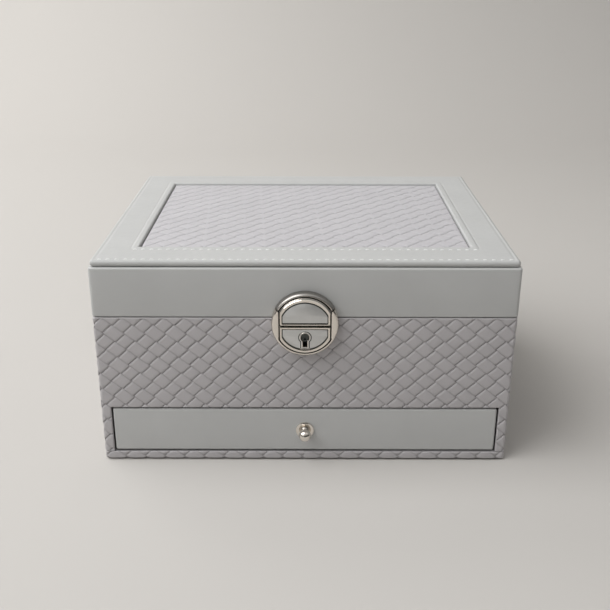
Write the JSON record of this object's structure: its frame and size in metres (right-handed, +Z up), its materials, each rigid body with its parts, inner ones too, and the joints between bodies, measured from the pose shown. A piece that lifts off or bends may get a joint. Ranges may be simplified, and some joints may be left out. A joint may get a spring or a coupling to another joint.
{
  "type": "jewellery chest",
  "caption": "Rectangular leathercloth jewellery chest with a hinged mirror lid and round key lock, a lift-out tray and a front drawer with a ball knob.",
  "frame": {"origin": "middle of the underside of the base felt, level with the middle of the case's width and depth", "axes": "+Z up through the lid, -Y out of the front with the drawer and the lock, +X along the width"},
  "size_m": [0.24, 0.2036, 0.1275],
  "materials": {
    "plain_leathercloth": "matt, fine grain, plain",
    "woven_leathercloth": "matt, embossed in a slanting basket weave",
    "dark_felt": "felt",
    "bare_board": "paper-faced fibreboard",
    "grey_velvet": "short-pile velvet",
    "mirror_glass": "silvered, clear",
    "polished_nickel": "polished nickel plate",
    "satin_nickel": "satin nickel plate",
    "plated_steel": "bright zinc or nickel plate"
  },
  "bodies": {
    "case": {"base_felt": "dark_felt", "base_board": "woven_leathercloth", "case_left_wall": "woven_leathercloth", "case_right_wall": "woven_leathercloth", "case_back_wall": "woven_leathercloth", "case_front_wall": "woven_leathercloth", "shelf_board": "bare_board", "floor_lining": "grey_velvet", "bin_divider": "grey_velvet", "tray_ledge_left": "grey_velvet", "tray_ledge_right": "grey_velvet", "lock_plate": "polished_nickel", "key_face": "satin_nickel", "lock_screw_left": "plated_steel", "lock_screw_right": "plated_steel", "hinge_left_case_leaf": "plated_steel", "hinge_left_pin": "plated_steel", "hinge_right_case_leaf": "plated_steel", "hinge_right_pin": "plated_steel", "hinge_screw_left_case_a": "plated_steel", "hinge_screw_left_case_b": "plated_steel", "hinge_screw_right_case_a": "plated_steel", "hinge_screw_right_case_b": "plated_steel"},
    "lid": {"lid_front_wall": "plain_leathercloth", "lid_back_wall": "plain_leathercloth", "lid_left_wall": "plain_leathercloth", "lid_right_wall": "plain_leathercloth", "lid_top_board": "bare_board", "lid_lining": "grey_velvet", "lid_window_frame": "plain_leathercloth", "woven_panel": "woven_leathercloth", "mirror_frame": "plain_leathercloth", "mirror": "mirror_glass", "hasp_base": "polished_nickel", "hasp_pin": "plated_steel", "hinge_left_lid_leaf": "plated_steel", "hinge_right_lid_leaf": "plated_steel", "hinge_screw_left_lid_a": "plated_steel", "hinge_screw_left_lid_b": "plated_steel", "hinge_screw_right_lid_a": "plated_steel", "hinge_screw_right_lid_b": "plated_steel"},
    "hasp": {"hasp_flap": "satin_nickel", "hasp_hook": "plated_steel"},
    "drawer": {"drawer_front": "plain_leathercloth", "drawer_left": "plain_leathercloth", "drawer_right": "plain_leathercloth", "drawer_back": "plain_leathercloth", "drawer_bottom": "bare_board", "drawer_lining": "grey_velvet", "drawer_divider": "grey_velvet", "drawer_cross_divider": "grey_velvet", "knob": "polished_nickel", "knob_rosette": "polished_nickel", "knob_screw": "plated_steel"},
    "tray": {"tray_shell": "grey_velvet", "tray_divider": "grey_velvet", "tray_cross_divider": "grey_velvet", "ring_pad": "grey_velvet"},
    "key_plug": {"key_plug": "plated_steel"},
    "lock_bolt": {"lock_bolt": "plated_steel"}
  },
  "joints": [
    {"name": "lid_hinge", "type": "hinge", "parent": "case", "child": "lid", "pos_m": [0, 0.0972, 0.09375], "axis": [-1, 0, 0], "range_deg": [0, 100]},
    {"name": "hasp_swing", "type": "hinge", "parent": "lid", "child": "hasp", "pos_m": [0, -0.0993, 0.1048], "axis": [-1, 0, 0], "range_deg": [0, 45]},
    {"name": "drawer_slide", "type": "slide", "parent": "case", "child": "drawer", "axis": [0, -1, 0], "range_m": [0, 0.13]},
    {"name": "tray_lift", "type": "slide", "parent": "case", "child": "tray", "axis": [0, 0, 1], "range_m": [0, 0.018]},
    {"name": "key_turn", "type": "hinge", "parent": "case", "child": "key_plug", "pos_m": [0, -0.0997, 0.0844], "axis": [0, 1, 0], "range_deg": [0, 90]},
    {"name": "bolt_slide", "type": "slide", "parent": "case", "child": "lock_bolt", "axis": [1, 0, 0], "range_m": [0, 0.0053]}
  ],
  "couplings": [
    {"joint": "key_turn", "follows": "bolt_slide", "rad_per_m": 296.38}
  ]
}
